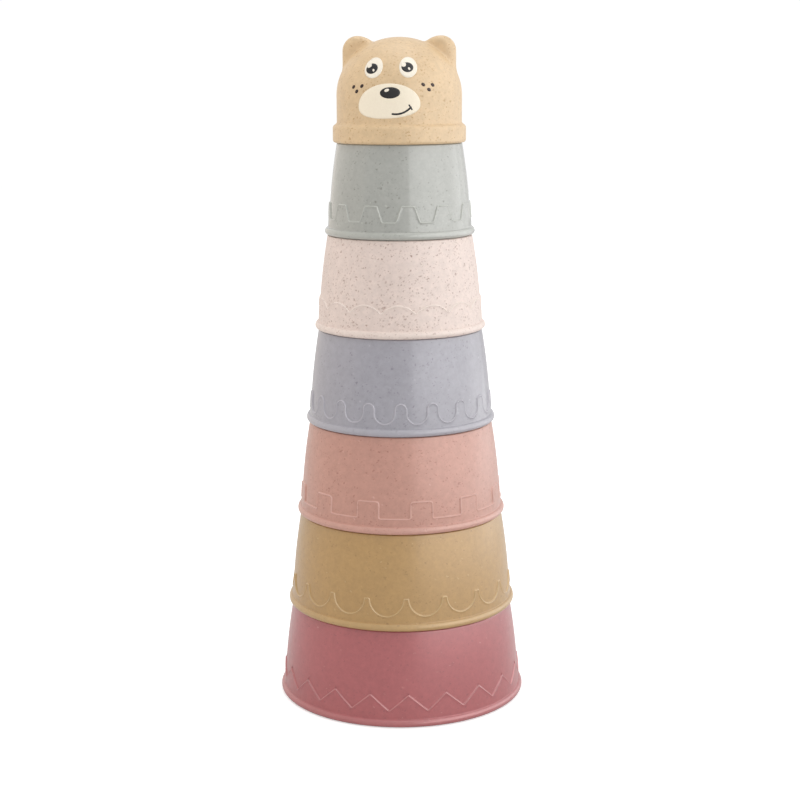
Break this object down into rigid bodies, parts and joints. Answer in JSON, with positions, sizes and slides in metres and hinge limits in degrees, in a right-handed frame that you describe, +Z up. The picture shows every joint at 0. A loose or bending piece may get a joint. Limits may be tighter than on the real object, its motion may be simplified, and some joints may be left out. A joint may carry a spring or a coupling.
{
  "type": "stacking cup tower",
  "caption": "Tower of upturned round cups, each narrower than the one below and ringed by a raised patterned band, topped by a cup shaped as a bear's head.",
  "frame": {"origin": "on the tower's axis, in the plane of the bottom cup's rim, which is the plane it stands on", "axes": "+Z up the tower, -Y the way the bear's face looks, +X to the viewer's right of the face"},
  "size_m": [0.102, 0.102, 0.27],
  "materials": {
    "rose_plastic": "satin",
    "mustard_plastic": "satin",
    "pink_plastic": "satin",
    "blue_plastic": "satin",
    "cream_plastic": "satin",
    "sage_plastic": "satin",
    "bear_plastic": "satin"
  },
  "bodies": {
    "rose_cup": {"rose_cup": "rose_plastic"},
    "mustard_cup": {"mustard_cup": "mustard_plastic"},
    "pink_cup": {"pink_cup": "pink_plastic"},
    "blue_cup": {"blue_cup": "blue_plastic"},
    "cream_cup": {"cream_cup": "cream_plastic"},
    "sage_cup": {"sage_cup": "sage_plastic"},
    "bear_cup": {"bear_cup": "bear_plastic"}
  },
  "joints": [
    {"name": "mustard_cup_lift", "type": "slide", "parent": "rose_cup", "child": "mustard_cup", "axis": [0, 0, 1], "range_m": [0, 0.03]},
    {"name": "pink_cup_lift", "type": "slide", "parent": "mustard_cup", "child": "pink_cup", "axis": [0, 0, 1], "range_m": [0, 0.03]},
    {"name": "blue_cup_lift", "type": "slide", "parent": "pink_cup", "child": "blue_cup", "axis": [0, 0, 1], "range_m": [0, 0.03]},
    {"name": "cream_cup_lift", "type": "slide", "parent": "blue_cup", "child": "cream_cup", "axis": [0, 0, 1], "range_m": [0, 0.03]},
    {"name": "sage_cup_lift", "type": "slide", "parent": "cream_cup", "child": "sage_cup", "axis": [0, 0, 1], "range_m": [0, 0.03]},
    {"name": "bear_cup_lift", "type": "slide", "parent": "sage_cup", "child": "bear_cup", "axis": [0, 0, 1], "range_m": [0, 0.03]}
  ]
}
